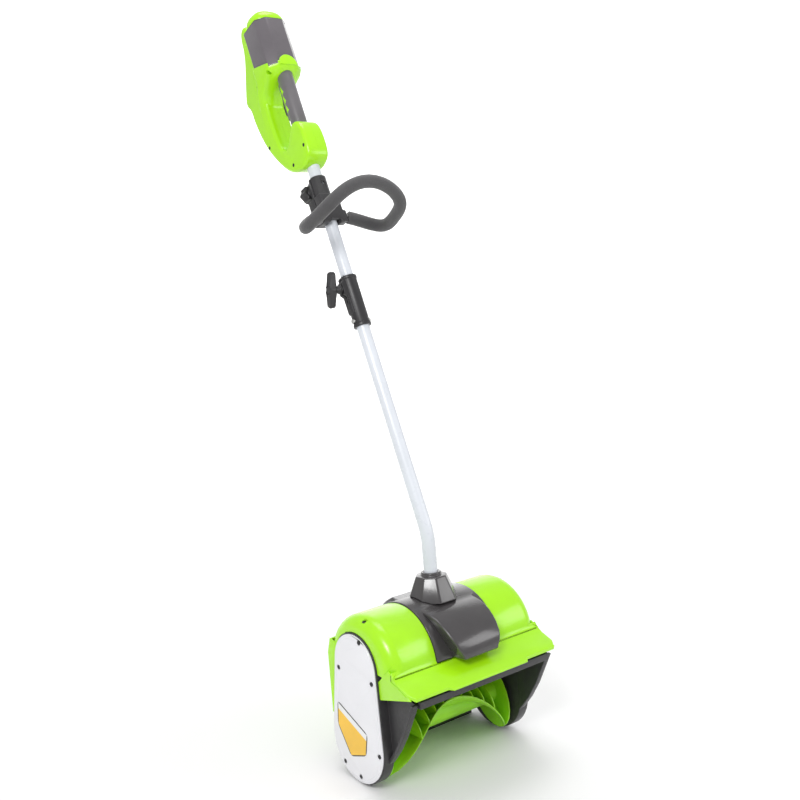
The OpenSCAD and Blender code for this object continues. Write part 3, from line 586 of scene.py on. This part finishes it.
skirt = loft("skirt", [ring(20, 62, 84, 842, 4), ring(25.5, 50, 82, 858, 6), ring(31, 34, 74, 872, 8),
                       ring(36, 4, 62, 884, 10), ring(39.5, -18, 50, 894, 8), ring(40.5, -24, 45, 902, 5),
                       [(x, y, s + 0.39 * max(0, y + 13)) for x, y, s in ring(40.9, -24.9, 43.9, 909, 3.5)]])
soften(skirt, 1.6, 3, 40)
tongue = combine(rod("tongue", (0, -17, 903), (0, -1, 0), 8.6, 21.5, 19.5, sides=64),
                 [block("tongue_foot", (-30, -40, 870), (30, 0, 901))])
soften(tongue, 3, 4, 50)
combine(handle, [skirt, tongue], "UNION")
ribs = [rod(f"rib_{k}", (-13, 97.5 + 2.15 * k, 786 + 8.6 * k), (1, 0, 0), 26, 2.1, sides=20) for k in range(7)]
combine(handle, ribs, "UNION")
print("handle faces", len(handle.data.polygons))

# %% [markdown]
# ## The openings and the parting
# The pole, the grip, the battery, its plug, the latch, the lock button and the screws each need
# room. The room is cut from the upright solid, which is then laid over along the pole. A copy
# gives the second half, and each half keeps one side of the middle plane.

# %% Openings and parting
screw_places = [(-24, 722), (26, 706), (86, 778), (-1, 895), (64, 904)]
cuts = [rod("pole_cut", (0, 0, 670), (0, 0, 1), 124, 12.75, sides=64),
        rod("grip_cut", (0, 0, 764), (0, 0, 1), 138, 16.3, sides=64),
        block("battery_cut", (-38.5, -22.5, 904), (38.5, 41.5, 1060)),
        block("terminal_cut", (-20.4, 19.6, 889.6), (20.4, 40.4, 904.6)),
        block("latch_cut", (-7, 91, 940), (7, 140, 962)),
        rod("lock_cut", (16.6, -8, 762), (1, 0, 0), 20, 5.3)]
cuts += [rod(f"screw_cut_{k}", (-46, y, z), (1, 0, 0), 23, 3.7, sides=32) for k, (y, z) in enumerate(screw_places)]
combine(handle, cuts)
lay(handle, POLE)
other = handle.copy()
other.data = handle.data.copy()
bpy.context.scene.collection.objects.link(other)
handle.name = handle.data.name = "handle_housing_left_finished"
other.name = other.data.name = "handle_housing_right_finished"
combine(handle, [block("left_side", (-90, -300, 900), (-0.1, 700, 1700))], "INTERSECT")
combine(other, [block("right_side", (0.1, -300, 900), (90, 700, 1700))], "INTERSECT")
settle(smooth(handle, 40), "handle_housing_left")
settle(smooth(other, 40), "handle_housing_right")
print("halves", len(handle.data.polygons), len(other.data.polygons))

# %% [markdown]
# ## Grip and trigger
# The grip is a soft sleeve with three slanted green flashes let into its side. A flash follows
# the round sleeve, so it is the part of a thin tube that lies inside a slanted block.

# %% Grip and its flashes
edged("grip_sleeve", 1.6, 3)
edged("trigger", 1.6, 3)
flashes = combine(rod("grip_flashes", (0, 0, 790), (0, 0, 1), 90, 16.35, sides=96),
                  [rod("flash_bore", (0, 0, 780), (0, 0, 1), 110, 15.6, sides=96)])
slant = None
for k in range(3):
    slash = block(f"slash_{k}", (-30, -2, 0), (-4, 8, 16))
    lay(slash, Matrix.Translation((0, 0, (812 + 20 * k) * MM)) @ Matrix.Rotation(math.radians(-24), 4, "X"))
    slant = slash if slant is None else combine(slant, [slash], "UNION")
combine(flashes, [slant], "INTERSECT")
lay(flashes, POLE)
flashes.data.materials.clear()
flashes.data.materials.append(FINISH["green_shell"])
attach(smooth(flashes), "upper")
print("flashes", len(flashes.data.polygons))

# %% [markdown]
# ## Battery and lid
# The battery is a glossy grey block with bevelled corners, and its green lid is domed. The lid
# is lofted from rings that shrink faster towards the top. The case is lighter than the other
# dark mouldings, so it gets a finish of its own.

# %% Battery and lid
battery = edged("battery_case", 2.2, 4)
battery.data.materials[0] = finish("battery_grey", (0.12, 0.108, 0.12), 0.24, grain=0.02, wave=0.6, worn=0.06,
                                   smudge=0.1, coat=0.45)
lid_steps = [(1009.05, 1.0), (1015, 0.6), (1021, 2.0), (1027, 5.5), (1031.5, 11.0), (1034.5, 19.0), (1034.9, 24)]
lid = loft("battery_cap_finished", [[(x * (1 - inset / 38), 9.5 + (y - 9.5) * (1 - inset / 32), s)
                                     for x, y in rounded(section(0), 3)] for s, inset in lid_steps])
soften(lid, 0.8, 2, 50)
lay(lid, POLE)
settle(smooth(lid, 50), "battery_cap")
edged("battery_latch", 1.0, 2)
edged("lock_off_button", 1.2, 3)
print("lid", len(lid.data.polygons))

# %% [markdown]
# ## Floor and wall
# The shovel stands on a pale floor that curves up into a pale wall far behind it, so no horizon
# cuts the picture. A plain plane would do for a view from above, but not for this low one.

# %% Floor and wall
sweep = [(-5000, -0.4), (4200, -0.4)]
sweep += [(4200 + 1800 * math.sin(math.radians(t)), 1799.6 - 1800 * math.cos(math.radians(t))) for t in range(6, 91, 6)]
sweep += [(6000, 5200), (6050, 5200), (6050, -60), (-5000, -60)]
floor = lay(plate("studio_floor", sweep, -8000, 8000), Matrix.Rotation(math.radians(-38.72), 4, "Z"))
smooth(floor, 20)
floor.data.materials.append(finish("studio_white", (0.9, 0.9, 0.9), 0.8, grain=0.0, worn=0.0, smudge=0.0))
print("floor faces", len(floor.data.polygons))

# %% [markdown]
# ## Light
# A bright, even sky fills the shadows. Large soft lights then give long, quiet highlights on the
# barrel and the tubes, and the last one brightens the wall.

# %% Sky and soft lights
world = bpy.data.worlds.new("studio_air")
bpy.context.scene.world = world
world.use_nodes = True
world.node_tree.nodes["Background"].inputs[0].default_value = (1, 1, 1, 1)
world.node_tree.nodes["Background"].inputs[1].default_value = 0.62


def softbox(name, place, target, size, power):
    light = bpy.data.lights.new(name, "AREA")
    light.shape, light.size, light.energy = "SQUARE", size, power
    obj = bpy.data.objects.new(name, light)
    obj.location = place
    obj.rotation_euler = (Vector(target) - Vector(place)).to_track_quat("-Z", "Y").to_euler()
    bpy.context.scene.collection.objects.link(obj)
    return obj


softbox("key", (-1.9, -1.3, 2.3), (0, 0, 0.5), 0.9, 30)
softbox("fill", (1.8, -2.0, 1.5), (0, 0, 0.4), 1.2, 14)
softbox("top", (0.2, 0.5, 3.0), (0, 0, 0.3), 1.2, 16)
softbox("handle_fill", (-1.7, -0.9, 1.9), (0, 0.45, 1.25), 0.7, 7)
softbox("wall_wash", (1.2, 2.6, 3.4), (3.4, 4.4, 1.0), 3.0, 190)

# %% [markdown]
# ## Camera
# The camera stands in front, to the left and at about the height of the loop handle, and looks a
# little down. From there the rotor, one side cover and the whole pole are in view.

# %% Camera
camera = bpy.data.objects.new("camera", bpy.data.cameras.new("camera"))
camera.location = (-1.1689, -1.4172, 1.0288)
camera.rotation_euler = (math.radians(78.68), 0, math.radians(-38.72))
camera.data.lens = 46.74
camera.data.sensor_width = 36
bpy.context.scene.collection.objects.link(camera)
bpy.context.scene.camera = camera
bpy.context.scene.view_settings.view_transform = "Standard"
print("camera lens", camera.data.lens)
